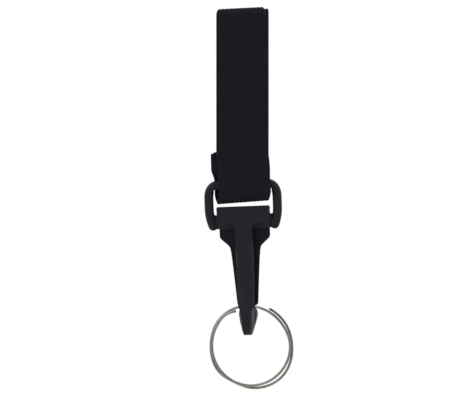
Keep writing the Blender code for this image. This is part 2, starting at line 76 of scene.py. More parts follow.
def placePiece(piece, body, material, node=None):
    # every finished piece rides a body and takes its finish from one slot
    piece.data.materials.clear()
    piece.data.materials.append(material)
    piece.data.shade_smooth()
    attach(piece, body)
    if node:
        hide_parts(node)
    triangles = sum(len(face.vertices) - 2 for face in piece.data.polygons)
    print(f"{piece.name}: {triangles} triangles on {body}")
    return piece


def bridgeRings(bm, rings):
    # rings of points, joined by bridging and closed at both ends
    loops = []
    for ring in rings:
        corners = [bm.verts.new(point) for point in ring]
        loops.append([bm.edges.new((a, b)) for a, b in zip(corners, corners[1:] + corners[:1])])
    for lower, upper in zip(loops, loops[1:]):
        bmesh.ops.bridge_loops(bm, edges=lower + upper)
    for end in (loops[0], loops[-1]):
        bmesh.ops.contextual_create(bm, geom=end)
    bmesh.ops.recalc_face_normals(bm, faces=bm.faces[:])


def fineRings(rows, steps):
    # a smooth curve through each point's places in the rows, as more rows
    rows = np.array(rows)
    padded = np.concatenate([2 * rows[:1] - rows[1:2], rows, 2 * rows[-1:] - rows[-2:-1]])
    fine = []
    for i in range(1, len(padded) - 2):
        before, here, after, later = padded[i - 1 : i + 3]
        for k in range(steps):
            t = k / steps
            fine.append(
                0.5
                * (
                    2 * here
                    + (after - before) * t
                    + (2 * before - 5 * here + 4 * after - later) * t**2
                    + (3 * here - before - 3 * after + later) * t**3
                )
            )
    fine.append(rows[-1])
    return fine


def applied(piece):
    # makes what a piece's modifiers do permanent
    settled = piece.evaluated_get(bpy.context.evaluated_depsgraph_get())
    done = bpy.data.meshes.new_from_object(settled)
    piece.modifiers.clear()
    piece.data = done
    return piece


def moulded(bm, name, voxel, rounds):
    # fuses overlapping solids into one skin with softly rounded edges, as a mould leaves it
    piece = newObject(name, meshFrom(bm, name))
    fuse = piece.modifiers.new("fuse", "REMESH")
    fuse.mode = "VOXEL"
    fuse.voxel_size = voxel
    ease = piece.modifiers.new("ease", "SMOOTH")
    ease.factor = 0.5
    ease.iterations = rounds
    return applied(piece)


def gridSpot(vert, around, along):
    # which place round a section and which step along a line a grid's corner stands for
    return round((vert.co.x + 0.5) * around) % around, round((vert.co.y + 0.5) * along)


def closeTube(bm, weld):
    # joins the seam of a grid that is rolled to a tube and closes its ends
    bmesh.ops.remove_doubles(bm, verts=bm.verts[:], dist=weld)
    bmesh.ops.holes_fill(bm, edges=[edge for edge in bm.edges if edge.is_boundary])
    bmesh.ops.recalc_face_normals(bm, faces=bm.faces[:])


# Materials


class Channel:
    # a socket of a finish, so that sums on it read as plain arithmetic
    def __init__(self, finish, socket):
        self.finish = finish
        self.socket = socket

    def maths(self, operation, *values):
        return self.finish.node("ShaderNodeMath", {"operation": operation}, dict(enumerate(values)))

    def __add__(self, other):
        return self.maths("ADD", self, other)

    def __sub__(self, other):
        return self.maths("SUBTRACT", self, other)

    def __rsub__(self, other):
        return self.maths("SUBTRACT", other, self)

    def __mul__(self, other):
        return self.maths("MULTIPLY", self, other)

    def __truediv__(self, other):
        return self.maths("DIVIDE", self, other)

    def __pow__(self, other):
        return self.maths("POWER", self, other)

    __radd__ = __add__
    __rmul__ = __mul__

    def only(self, operation, *values):
        return self.maths(operation, self, *values)


class Finish:
    # a material or a world, with short ways to add its nodes
    def __init__(self, name, kind="materials"):
        self.made = getattr(bpy.data, kind).new(name)
        self.made.use_nodes = True
        self.tree = self.made.node_tree
        self.shader = self.tree.nodes["Background" if kind == "worlds" else "Principled BSDF"]

    def node(self, kind, settings, inputs, output=0):
        made = self.tree.nodes.new(kind)
        for key, value in settings.items():
            if key == "stops":
                for stop, (place, colour) in zip(made.color_ramp.elements, value):
                    stop.position = place
                    stop.color = colour
            else:
                setattr(made, key, value)
        for key, value in inputs.items():
            if isinstance(value, Channel):
                self.tree.links.new(value.socket, made.inputs[key])
            else:
                made.inputs[key].default_value = value
        return Channel(self, made.outputs[output])

    def mix(self, share, first, second):
        return self.node("ShaderNodeMix", {"data_type": "RGBA"}, {0: share, 6: first, 7: second}, 2)

    def noise(self, vector, scale, detail, roughness):
        inputs = {"Vector": vector, "Scale": scale, "Detail": detail, "Roughness": roughness}
        return self.node("ShaderNodeTexNoise", {}, inputs)

    def wave(self, share, low, high):
        # a channel from 0 to 1 moved into a range
        inputs = {"Value": share, "To Min": low, "To Max": high}
        return self.node("ShaderNodeMapRange", {}, inputs)

    def fade(self, value, limits, low, high):
        # a channel that eases from low to high between two limits
        near, far = limits
        inputs = {"Value": value, "From Min": near, "From Max": far, "To Min": low, "To Max": high}
        return self.node("ShaderNodeMapRange", {"interpolation_type": "SMOOTHSTEP"}, inputs)

    def bump(self, height, distance, strength=1.0, under=None):
        inputs = {"Height": height, "Distance": distance, "Strength": strength}
        if under:
            inputs["Normal"] = under
        return self.node("ShaderNodeBump", {}, inputs)

    def place(self):
        return self.node("ShaderNodeTexCoord", {}, {}, "Object")

    def surface(self, **inputs):
        for key, value in inputs.items():
            socket = self.shader.inputs[key.replace("_", " ")]
            if isinstance(value, Channel):
                self.tree.links.new(value.socket, socket)
            else:
                socket.default_value = value
        return self.made


# a noise is given as its scale, its detail and its roughness

webbingLook = {
    "yarn": (0.0091, 0.0082, 0.0150, 1),
    # crown: painted highlight on the ribs' tops
    "crown": (0.0128, 0.0117, 0.0198, 1),
    # groove: painted shade down in the grooves between the yarns
    "groove": (0.0062, 0.0054, 0.0100, 1),
    "edge": (0.0165, 0.0160, 0.0160, 1),
    "slant": 0.55,  # rise of the yarn across a rib, in picks
    "yarnsInRib": 4,
    "crownPower": 4,  # how flat a rib's crown is
    "pickPower": 0.6,
    "pickPart": 0.75,  # of the height that the picks make, and then the yarns
    "yarnPart": 0.25,
    "bumpDepth": 0.00012,
    "broad": (90.0, 3.0, 0.5),
    "broadPower": 1.6,
    "fuzz": (5200.0, 2.0, 0.7),
    "fuzzDepth": 0.00005,
    "fuzzStrength": 0.6,
    "rimPower": 24,  # how close to the edge the lighter rim stays
    "rimPart": 0.55,
    "rimFuzz": (0.4, 0.6),  # how much of the rim is even and how much follows the fuzz
    "specular": 0.10,
    "sheen": 0.02,
    "roughness": (0.80, 0.95),
}


def webbingFinish():
    look = webbingLook
    finish = Finish("black ribbed webbing")
    weave = finish.node("ShaderNodeAttribute", {"attribute_name": "weave"}, {}, "Vector")
    across = finish.node("ShaderNodeSeparateXYZ", {}, {0: weave})
    along = Channel(finish, across.socket.node.outputs[1])
    rib = across / strap["ribWidth"] + 0.5
    ribShare = rib.only("FRACT") - 0.5  # across one rib, from -0.5 to 0.5
    turn = (rib.only("FLOOR") / 2).only("FRACT") * 4 - 1  # each rib slants the other way
    picks = along / strap["pickPitch"] + ribShare * turn * look["slant"]
    pick = (picks * (2 * math.pi)).only("SINE") * 0.5 + 0.5
    yarns = across / strap["ribWidth"] * look["yarnsInRib"]
    yarn = (yarns * 2 * math.pi).only("COSINE") * 0.5 + 0.5
    crown = 1 - (ribShare * 2).only("ABSOLUTE") ** look["crownPower"]
    height = crown * (pick ** look["pickPower"] * look["pickPart"] + yarn * look["yarnPart"])
    place = finish.place()
    broad = finish.noise(place, *look["broad"])
    fuzz = finish.noise(place, *look["fuzz"])
    # painted shade: the weave's low places darken towards the groove tone
    shade = finish.mix(height, look["groove"], look["yarn"])
    # painted highlight: the ribs' high places lighten, in patches, towards the crown tone
    shade = finish.mix((broad * height) ** look["broadPower"], shade, look["crown"])
    outward = across.only("ABSOLUTE") / (strap["width"] / 2)
    rim = finish.wave(outward ** look["rimPower"], 0.0, look["rimPart"])
    even, fuzzy = look["rimFuzz"]
    shade = finish.mix(rim * (even + fuzz * fuzzy), shade, look["edge"])
    rough = finish.wave(fuzz, *look["roughness"])
    relief = finish.bump(height, look["bumpDepth"])
    relief = finish.bump(fuzz, look["fuzzDepth"], look["fuzzStrength"], relief)
    return finish.surface(
        Base_Color=shade,
        Roughness=rough,
        Normal=relief,
        Specular_IOR_Level=look["specular"],
        Sheen_Weight=look["sheen"],
    )


plasticLook = {
    "colour": (0.0118, 0.0117, 0.0158),
    "pale": (0.0162, 0.0160, 0.0206),
    "grain": (2600.0, 3.0, 0.6),
    "grainDepth": 0.000020,
    "grainStrength": 0.7,
    "flow": (60.0, 2.0, 0.5),
    "flowDepth": 0.00006,
    "scuff": (420.0, 4.0, 0.7),
    "scuffFrom": 0.56,  # the pale scuffs start here in their noise
    "scuffFull": 0.72,
    "paleParts": (0.6, 0.3),  # of the pale tone that scuffs and flow bring
    "roughParts": (0.2, 0.5, 0.3),  # of the roughness from scuffs, flow and grain
    "specular": 0.14,
    "roughness": (0.48, 0.64),
}


def plasticFinish(name, tintAndPaintedShade):
    look = plasticLook
    finish = Finish(name)
    place = finish.place()
    grain = finish.noise(place, *look["grain"])
    flow = finish.noise(place, *look["flow"])
    scuff = finish.noise(place, *look["scuff"])
    stops = [(look["scuffFrom"], (0, 0, 0, 1)), (look["scuffFull"], (1, 1, 1, 1))]
    marks = finish.node("ShaderNodeValToRGB", {"stops": stops}, {0: scuff})
    # the tones are scaled by the tint, which on the gate also carries painted shade
    tones = []
    for tone in (look["colour"], look["pale"]):
        tones.append((*(part * share for part, share in zip(tone, tintAndPaintedShade)), 1))
    marked, flowed = look["paleParts"]
    shade = finish.mix(marks * marked + flow * flowed, *tones)
    marked, flowed, grained = look["roughParts"]
    rough = finish.wave(flow * flowed + grain * grained + marks * marked, *look["roughness"])
    relief = finish.bump(flow, look["flowDepth"])
    relief = finish.bump(grain, look["grainDepth"], look["grainStrength"], relief)
    return finish.surface(
        Base_Color=shade, Roughness=rough, Normal=relief, Specular_IOR_Level=look["specular"]
    )


wireLook = {
    "bright": (0.335, 0.332, 0.300, 1),
    "dull": (0.200, 0.198, 0.175, 1),
    "draw": (900.0, 3.0, 0.6),
    "drawStretch": (0.5, 12.0, 12.0),  # the drawing lines run along the wire
    "tarnish": (240.0, 3.0, 0.6),
    "tarnishGain": 1.3,
    "tarnishFrom": 0.15,
    "roughParts": (0.5, 0.5),  # of the roughness from lines and tarnish
    "roughness": (0.20, 0.42),
    "drawDepth": 0.000008,
}


def wireFinish():
    look = wireLook
    finish = Finish("nickel spring wire")
    lay = finish.node("ShaderNodeAttribute", {"attribute_name": "lay"}, {}, "Vector")
    inputs = {"Vector": lay, "Scale": look["drawStretch"]}
    stretched = finish.node("ShaderNodeMapping", {}, inputs)
    lines = finish.noise(stretched, *look["draw"])
    tarnish = finish.noise(finish.place(), *look["tarnish"])
    worn = (tarnish * look["tarnishGain"] - look["tarnishFrom"]).only("MAXIMUM", 0.0)
    shade = finish.mix(worn, look["bright"], look["dull"])
    drawn, tarnished = look["roughParts"]
    rough = finish.wave(lines * drawn + tarnish * tarnished, *look["roughness"])
    relief = finish.bump(lines, look["drawDepth"])
    return finish.surface(Base_Color=shade, Roughness=rough, Normal=relief, Metallic=1.0)


threadLook = {
    "colour": (0.0080, 0.0074, 0.0095, 1),
    "pale": (0.0130, 0.0124, 0.0145, 1),
    "twist": (2600.0, 2.0, 0.6),
    "twistDepth": 0.00004,
    "specular": 0.15,
    "roughness": (0.5, 0.75),
}


def threadFinish():
    look = threadLook
    finish = Finish("black bonded thread")
    twist = finish.noise(finish.place(), *look["twist"])
    return finish.surface(
        Base_Color=finish.mix(twist, look["colour"], look["pale"]),
        Roughness=finish.wave(twist, *look["roughness"]),
        Normal=finish.bump(twist, look["twistDepth"]),
        Specular_IOR_Level=look["specular"],
    )


# How the hook hangs

hang = {
    "barZ": -0.0843,
    "tilt": math.radians(-2.14),
    "yaw": math.radians(-7.0),
}
hangTurn = Euler((0, hang["tilt"], hang["yaw"])).to_matrix().to_4x4()
hookPlace = Matrix.Translation((0, 0, hang["barZ"])) @ hangTurn

# Webbing strap

strap = {
    "width": 0.0254,
    "thickness": 0.0015,
    "edgeRound": 0.00062,
    "fitGap": 0.0003,
    "loopGap": 0.0054,
    "loopHeight": 0.0686,
    "loopEase": 0.0200,
    "stackHeight": 0.0087,
    "barDiameter": 0.0045,
    "barGap": 0.00042,
    "slack": 0.0047,
    "tailShift": 0.0027,
    "tailShiftLow": 0.0024,
    "frontShift": 0.0010,
    "tailEarly": 2,
    "barShift": 0.0013,
    "lowShift": 0.0015,
    "topSlant": math.tan(math.radians(2.8)),
    "lowSlant": math.tan(math.radians(2.2)),
    "notchFrom": 0.0098,  # the top fold's right end lies a little lower
    "notchDrop": 0.0009,
    "notchEase": 0.0010,
    "foldCorner": 0.0019,  # and its left end is worn round
    "cutWidth": 0.0022,  # the tail's end is cut off aslant at its left corner
    "cutDrop": 0.0012,
    "cutRun": 0.0036,
    "ribWidth": 0.00212,
    "ribHeight": 0.00013,
    "pickPitch": 0.00115,
    "pickHeight": 0.00004,
    "acrossSteps": 72,
    "edgeSteps": 4,
    "step": 0.00050,
    "kinkEase": 0.0009,
    "easeSteps": 24,
    "foldSteps": 40,
    "weld": 0.00001,
}
legY = (strap["loopGap"] + strap["thickness"]) / 2
layerY = strap["thickness"] + strap["fitGap"]
barLegY = (strap["barDiameter"] + strap["thickness"]) / 2 + strap["barGap"]
stackTop = -strap["loopHeight"]
stackBottom = stackTop - strap["stackHeight"]


def eased(start, end, early=1):
    # points from start to end whose depth and sideways shift follow an S curve
    points = []
    for share in spread(0.0, 1.0, strap["easeSteps"]):
        shares = (smoothShare(share), share, smoothShare(share * early))
        points.append([between(a, b, part) for a, b, part in zip(start, end, shares)])
    return points


def folded(centre, radius, shift, towards):
    # a half turn about a centre height, below it or, towards 1, above it
    points = []
    for share in spread(0.0, 1.0, strap["foldSteps"]):
        depth = -towards * radius * math.cos(math.pi * share)
        height = centre + towards * radius * math.sin(math.pi * share)
        points.append([depth, height, between(*shift, share)])
    return points


def strapLine():
    # depth, height and sideways shift from the tail to the back end, at even steps
    low = hang["barZ"] - strap["slack"]
    high = strap["thickness"] / 2 - legY
    easeTop = stackTop + strap["loopEase"]
    bar, fold = strap["barShift"], strap["lowShift"]
    line = [[0.0, stackTop, -strap["tailShift"]]]
    line += eased(line[-1], [0.0, stackBottom, -strap["tailShiftLow"]])
    line += eased(line[-1], [barLegY, hang["barZ"], -bar], strap["tailEarly"])
    line += eased(line[-1], [barLegY, low, -fold])
    line += folded(low, barLegY, (-fold, fold), -1)
    line += eased(line[-1], [-barLegY, hang["barZ"], bar])
    line += eased(line[-1], [-layerY, stackBottom, strap["frontShift"]])
    line += eased(line[-1], [-layerY, stackTop, 0.0])
    line += eased(line[-1], [-legY, easeTop, 0.0])
    line += eased(line[-1], [-legY, high, 0.0])
    line += folded(high, legY, (0.0, 0.0), 1)
    line += eased(line[-1], [legY, easeTop, 0.0])
    line += eased(line[-1], [layerY, stackTop, 0.0])
    line += eased(line[-1], [layerY, stackBottom + strap["fitGap"], 0.0])
    line = np.array(line)
    lengths = np.linalg.norm(np.diff(line[:, :2], axis=0), axis=1)
    run = np.concatenate([[0], np.cumsum(lengths)])
    count = round(run[-1] / strap["step"])
    even = np.linspace(0, run[-1], count + 1)
    line = np.stack([np.interp(even, run, line[:, i]) for i in range(3)], axis=1)
    reach = round(3 * strap["kinkEase"] / strap["step"])
    away = np.arange(-reach, reach + 1) * strap["step"] / strap["kinkEase"]
    weights = np.exp(-0.5 * away**2)
    weights /= weights.sum()
    softened = line.copy()
    for i in range(reach, len(line) - reach):
        softened[i] = (line[i - reach : i + reach + 1] * weights[:, None]).sum(0)
    return softened, even


def strapSection():
    # a ring round the webbing: across, out of its middle plane, and 1 on its two faces
    half, thick, radius = strap["width"] / 2, strap["thickness"] / 2, strap["edgeRound"]
    flat = half - radius
    side = [(x, thick, 1.0) for x in np.linspace(-flat, flat, strap["acrossSteps"] + 1)]
    for i in range(1, strap["edgeSteps"]):
        angle = math.pi / 2 - math.pi * i / strap["edgeSteps"]
        side.append((flat + radius * math.cos(angle), thick * math.sin(angle), 0.0))
    return side + [(-x, -out, face) for x, out, face in side]


def slanted(height, across):
    # how far a point is raised by the slants of the top fold and of the lower one
    above = smoothShare(1 + height / strap["loopGap"])
    below = smoothShare((hang["barZ"] - height) / strap["slack"])
    notch = strap["notchDrop"] * smoothShare((across - strap["notchFrom"]) / strap["notchEase"])
    cornerRound = strap["foldCorner"]
    beyond = min(max(-across - strap["width"] / 2 + cornerRound, 0.0), cornerRound)
    notch += cornerRound - math.sqrt(cornerRound**2 - beyond**2)
    return across * (above * strap["topSlant"] + below * strap["lowSlant"]) - above * notch


def withHook(point):
    # the strap's lower end turns with the hook, from none at the stack to all at the bar
    centre = np.array([0, 0, hang["barZ"]])
    share = smoothShare((stackTop - point[2]) / (stackTop - hang["barZ"]))
    turn = Euler((0, hang["tilt"] * share, hang["yaw"] * share)).to_matrix()
    return centre + np.array(turn) @ (point - centre)


def webbing():
    line, run = strapLine()
    heading = np.gradient(line[:, :2], axis=0)
    heading /= np.linalg.norm(heading, axis=1)[:, None]
    section = strapSection()
    bm = bmesh.new()
    weave = bm.verts.layers.float_vector.new("weave")
    bmesh.ops.create_grid(bm, x_segments=len(section), y_segments=len(line) - 1, size=0.5)
    for vert in bm.verts:
        i, k = gridSpot(vert, len(section), len(line) - 1)
        across, out, face = section[i]
        if face:
            rib = 0.5 + 0.5 * math.cos(2 * math.pi * across / strap["ribWidth"])
            out += math.copysign(strap["ribHeight"] * (math.sqrt(rib) - 1), out)
        else:
            pick = 0.5 + 0.5 * math.sin(2 * math.pi * run[k] / strap["pickPitch"])
            across += math.copysign(strap["pickHeight"] * (pick - 1), across)
        depth, height, shift = line[k]
        raised = height - heading[k][0] * out + slanted(height, across)
        corner = min(max(1 - (across + strap["width"] / 2) / strap["cutWidth"], 0.0), 1.0)
        raised -= strap["cutDrop"] * corner * max(1 - run[k] / strap["cutRun"], 0.0)
        point = np.array((across + shift, depth + heading[k][1] * out, raised))
        vert.co = withHook(point)
        vert[weave] = (section[i][0], run[k], out)
    closeTube(bm, strap["weld"])
    piece = newObject("webbing", meshFrom(bm, "webbing"))
    return placePiece(piece, "strap", webbingFinish(), "webbing_strap")


# Two plain rows of stitches through the stack
stitches = {
    "halfWidth": 0.0112,
    "rows": (-0.0703, -0.0757),
    "length": 0.0021,
    "pitch": 0.0026,
    "thick": 0.00036,
    "sunk": 0.00014,
    "sides": 8,
    "bands": 6,
}


def stitchRows():
    bm = bmesh.new()
    count = round(2 * stitches["halfWidth"] / stitches["pitch"])
    size = Matrix.Diagonal((stitches["length"], stitches["thick"], stitches["thick"], 1))
    for side in (-1, 1):
        surface = side * (layerY + strap["thickness"] / 2 - stitches["sunk"])
        for height in stitches["rows"]:
            for i in range(count):
                across = between(-1, 1, (i + 0.5) / count) * stitches["halfWidth"]
                made = bmesh.ops.create_uvsphere(
                    bm, u_segments=stitches["sides"], v_segments=stitches["bands"], radius=0.5
                )
                spot = Matrix.Translation((across, surface, height))
                bmesh.ops.transform(bm, matrix=spot @ size, verts=made["verts"])
    for vert in bm.verts:
        vert.co = withHook(np.array(vert.co))
    piece = newObject("stitching", meshFrom(bm, "stitching"))
    return placePiece(piece, "strap", threadFinish())


# Snap hook moulding

hook = {
    "frameBar": 0.0045,
    "frameWidth": 0.0379,
    "frameHeight": 0.0243,
    "cornerWidth": 0.0042,
    "cornerHeight": 0.0059,
    "slotHeight": 0.0123,
    "crossHeight": 0.0068,
    "crossDepth": 0.0034,
    "crossBack": 0.0005,
    "lobeReach": 0.0016,
    "lobeRise": 0.0085,
    "reliefGap": 0.0001,
    "headWidth": 0.0258,
    "headTop": 0.0106,
    "headHeight": 0.0073,
    "headSlope": 0.0018,
    "headFront": 0.0030,
    "headBack": 0.0019,
    "headNeck": 0.0016,
    "edgeBevel": 0.0004,
    "housingTop": 0.0136,
    "housingSlope": 0.0034,
    "housingFront": 0.0002,
    "lip": 0.0009,
    "length": 0.0733,
    "spineWidth": 0.0084,
    "spineBack": 0.0005,
    "bendFront": 0.0063,
    "noseWidth": 0.0089,
    "tongueWidth": 0.0054,
    "noseThickness": 0.0018,
    "noseOverlap": 0.0024,
    "eyeFillet": 0.0008,
    "eyeRunOut": 0.0136,
    "spineLean": 0.12,  # of the eye's depth that the spine's rear has reached at the step
    "rearBevel": 0.11,  # of the front bevel's width
    "tongueBack": 0.25,  # of the nose's thickness, rounded off behind the tongue's top
    "tongueFront": 0.12,
    "housingShoulder": 0.4,  # of the way back from the head at the slope's top
    "overrun": 0.002,
    "frameSides": 24,
    "lobeSteps": 6,
    "leanSteps": 12,
    "cornerSteps": 14,
    "reliefSteps": 96,
    "grooveSides": 64,
    "spineSteps": 6,  # between two rows of the spine
    "voxel": 0.00026,
    "easeRounds": 5,
    "tintAndPaintedShade": (1, 1, 1),
}
gate = {
    "pivotDrop": 0.0204,
    "pivotBack": 0.0026,
    "barrel": 0.0030,
    "thickness": 0.0016,
    "tipFront": 0.0038,
    "shoulderWidth": 0.0247,
    "shoulderDrop": 0.0045,
    "curveDrop": 0.0063,
    "leafWidth": 0.0148,
    "tipWidth": 0.0101,
    "endGap": 0.0009,
    "snap": 0.0012,
    "corner": 0.0013,
    "flare": 0.35,
    "barrelFrom": 0.02,
    "barrelSteps": 16,
    "shoulderSteps": 3,
    "curveSteps": 14,
    "leafSteps": 12,
    "endTurns": (15, 30, 45, 60, 75, 86),  # degrees round the corners of the leaf's end
    "voxel": 0.00024,
    "easeRounds": 4,
    # the gate's plastic is darkened as painted shade for its deep place behind the head and spine,
    # and made bluer as its own colour
    "tintAndPaintedShade": (0.48, 0.48, 0.66),
}
ring = {
    "wire": 0.0013,
    "wireDepth": 0.00150,
    "squareness": 0.75,
    "radius": 0.0193,
    "turnGap": 0.00042,
    "shift": 0.0015,
    "drop": 0.0590,
    "forward": 0.0019,
    "clearance": 0.0010,
    "firstEnd": math.radians(111),
    "lastEnd": math.radians(62),
    "joggleFrom": math.radians(66),
    "joggleTo": math.radians(108),
    "steps": 520,
    "sides": 16,
    "endInset": 0.3,
    "weld": 0.000004,
}
fitGap = strap["fitGap"]
seatDrop = ring["drop"] + ring["wire"] / 2 + fitGap
eyeFront = -(ring["forward"] + ring["wire"] / 2 + ring["clearance"])
noseFront = gate["tipFront"] + gate["thickness"] + fitGap
noseBack = noseFront + hook["noseThickness"]
gateEndDrop = seatDrop - gate["endGap"]
noseTopDrop = gateEndDrop - hook["noseOverlap"]

# rows of the spine: share of the way down, half widths of the front flat and the sides
spineRows = (
    (0.00, 0.485, 0.500),
    (0.36, 0.490, 0.505),
    (0.54, 0.465, 0.510),
    (0.77, 0.345, 0.505),
    (1.00, 0.262, 0.500),
)
# where it steps forward: share of the height, ways forward of front and rear, half widths
stepRows = (
    (0.30, 0.09, 0.28, 0.238, 0.494),
    (0.59, 0.36, 0.62, 0.232, 0.488),
    (0.85, 0.64, 0.86, 0.220, 0.476),
)
spineShares = (0.0, 0.42, 0.54, 0.66, 0.78, 0.90, 1.0)
# round the bend: outer depth and height, inner depth and fillet, half widths from the outer
# face to the inner one
bendRows = (
    (0.050, -0.02, 0.000, 1.60, (0.20, 0.40, 0.42, 0.42, 0.42, 0.42, 0.36)),
    (0.014, 0.15, 0.000, 0.70, (0.17, 0.32, 0.34, 0.34, 0.32, 0.31, 0.24)),
    (0.000, 0.42, 0.070, 0.12, (0.15, 0.27, 0.30, 0.32, 0.34, 0.30, 0.15)),
    (0.022, 0.72, 0.150, 0.00, (0.17, 0.26, 0.29, 0.31, 0.34, 0.30, 0.15)),
    (0.090, 0.88, 0.230, 0.00, (0.18, 0.25, 0.30, 0.32, 0.35, 0.30, 0.15)),
    (0.215, 0.96, 0.310, 0.00, (0.20, 0.28, 0.32, 0.34, 0.37, 0.30, 0.15)),
    (0.450, 1.00, 0.470, 0.00, (0.22, 0.30, 0.35, 0.38, 0.40, 0.30, 0.15)),
    (0.600, 0.93, 0.600, 0.00, (0.26, 0.33, 0.37, 0.43, 0.48, 0.31, 0.15)),
    (0.880, 0.52, 0.800, 0.00, (0.42, 0.47, 0.48, 0.49, 0.50, 0.31, 0.15)),
    (0.985, 0.28, 0.950, 0.30, (0.48, 0.50, 0.50, 0.49, 0.46, 0.31, 0.20)),
    (1.000, 0.11, 1.000, 1.00, (0.29, 0.31, 0.31, 0.31, 0.31, 0.31, 0.28)),
)
bendShares = (0.0, 0.17, 0.33, 0.40, 0.74, 0.86, 1.0)
tongueShares = (0.46, 0.50, 0.50, 0.50, 0.50, 0.50, 0.46)
tongueTopShares = (0.36, 0.44, 0.44, 0.44, 0.44, 0.44, 0.40)


def sectionRing(outer, inner, widths, shares):
    right = []
    for width, share in zip(widths, shares):
        depth = between(outer[0], inner[0], share)
        drop = between(outer[1], inner[1], share)
        right.append((width, depth, -drop))
    return right + [(-x, y, z) for x, y, z in reversed(right)]


def spineSection(drop, front, back, flat, side):
    halves = [flat, side, side, side, side, side, between(side, flat, hook["rearBevel"])]
    widths = [share * hook["spineWidth"] for share in halves]
    return sectionRing((front, drop), (back, drop), widths, spineShares)


def spineSections():
    stepFrom = seatDrop - hook["eyeRunOut"]
    stepBack = eyeFront * hook["spineLean"]
    start = hook["headTop"] + hook["headHeight"] / 2
    rows = []
    for along, flat, side in spineRows:
        drop = between(start, stepFrom, along)
        back = between(hook["spineBack"], stepBack, along**2)
        rows.append(spineSection(drop, -hook["headFront"], back, flat, side))
    for along, out, backOut, flat, side in stepRows:
        drop = between(stepFrom, seatDrop, along)
        front = between(-hook["headFront"], -hook["bendFront"], out)
        back = between(stepBack, eyeFront, backOut)
        rows.append(spineSection(drop, front, back, flat, side))
    for outerY, outerZ, innerY, innerZ, halves in bendRows:
        outer = (
            between(-hook["bendFront"], noseBack, outerY),
            between(seatDrop, hook["length"], outerZ),
        )
        inner = (between(eyeFront, noseFront, innerY), seatDrop - hook["eyeFillet"] * innerZ)
        widths = [share * hook["noseWidth"] for share in halves]
        rows.append(sectionRing(outer, inner, widths, bendShares))
    tongue = [share * hook["tongueWidth"] for share in tongueShares]
    low = (seatDrop + noseTopDrop) / 2
    rows.append(sectionRing((noseBack, low), (noseFront, low), tongue, bendShares))
    rounded = [share * hook["tongueWidth"] for share in tongueTopShares]
    topBack = between(noseBack, noseFront, hook["tongueBack"])
    topFront = between(noseFront, noseBack, hook["tongueFront"])
    top = ((topBack, noseTopDrop), (topFront, noseTopDrop))
    rows.append(sectionRing(*top, rounded, bendShares))
    return rows


def roundBar(bm, line, tall=1.0, back=0.0):
    # a bar along x, drop and radius, taller in the frame's plane than it is deep
    sides = hook["frameSides"]
    rings = []
    for i, (x, drop, radius) in enumerate(line):
        before, after = line[max(i - 1, 0)], line[min(i + 1, len(line) - 1)]
        out = Vector((after[1] - before[1], 0, after[0] - before[0])).normalized() * tall
        turns = [2 * math.pi * k / sides for k in range(sides)]
        centre, depth = Vector((x, back, -drop)), Vector((0, 1, 0))
        rings.append([centre + (out * math.cos(a) + depth * math.sin(a)) * radius for a in turns])
    bridgeRings(bm, rings)


def webFrame(bm):
    side = (hook["frameWidth"] - hook["frameBar"]) / 2
    radius = hook["frameBar"] / 2
    low = hook["frameHeight"] - hook["frameBar"]
    half = []
    for i in range(hook["lobeSteps"]):
        angle = math.pi / 2 * (i + 0.5) / hook["lobeSteps"]
        out, reach = radius * math.cos(angle), radius * math.sin(angle)
        half.append((side - hook["lobeReach"], low + out, reach))
    for share in [0.0] + spread(0.0, 1.0, hook["leanSteps"]):
        lean = hook["lobeReach"] * (1 - share) ** 2
        half.append((side - lean, low - hook["lobeRise"] * share, radius))
    for angle in [0.0] + spread(0.0, math.pi / 2, hook["cornerSteps"]):
        out = hook["cornerWidth"] * (1 - math.cos(angle))
        half.append((side - out, hook["cornerHeight"] * (1 - math.sin(angle)), radius))
    roundBar(bm, half + [(-x, drop, reach) for x, drop, reach in reversed(half)])
    drop = (hook["frameBar"] + hook["crossHeight"]) / 2 + hook["slotHeight"]
    end = side - hook["lobeReach"]
    cross = [(x, drop, hook["crossDepth"] / 2) for x in (end, -end)]
    roundBar(bm, cross, hook["crossHeight"] / hook["crossDepth"], hook["crossBack"])


def cornerRelief():
    # the room for the webbing round the web bar, in the frame's inner corners
    half = strap["width"] / 2 + strap["lowShift"] + hook["reliefGap"]
    inner, outer = hook["frameBar"] / 2 + hook["reliefGap"], hook["cornerHeight"]
    bm = bmesh.new()
    spots = ((-half, inner), (half, inner), (half, outer), (-half, outer))
    corners = [bm.verts.new((x, 0, reach)) for x, reach in spots]
    edges = [bm.edges.new((a, b)) for a, b in zip(corners, corners[1:] + corners[:1])]
    bmesh.ops.spin(
        bm,
        geom=corners + edges,
        cent=(0, 0, 0),
        axis=(1, 0, 0),
        angle=2 * math.pi,
        steps=hook["reliefSteps"],
        use_merge=True,
    )
    return bm


def barrelGroove():
    reach = gate["barrel"] / 2 + fitGap
    bm = bmesh.new()
    bmesh.ops.create_cone(
        bm,
        cap_ends=True,
        segments=hook["grooveSides"],
        radius1=reach,
        radius2=reach,
        depth=gate["shoulderWidth"] + hook["overrun"],
    )
    centre = Matrix.Translation((0, gate["pivotBack"], -gate["pivotDrop"]))
    bm.transform(centre @ Matrix.Rotation(math.pi / 2, 4, "Y"))
    return bm


def block(bm, rings):
    # an outline at several depths or sides, with its edges bevelled
    bare = bmesh.new()
    bridgeRings(bare, rings)
    bmesh.ops.bevel(
        bare,
        geom=bare.edges[:],
        offset=hook["edgeBevel"],
        segments=2,
        profile=0.5,
        affect="EDGES",
        material=-1,
    )
    bm.from_mesh(meshFrom(bare, "block"))


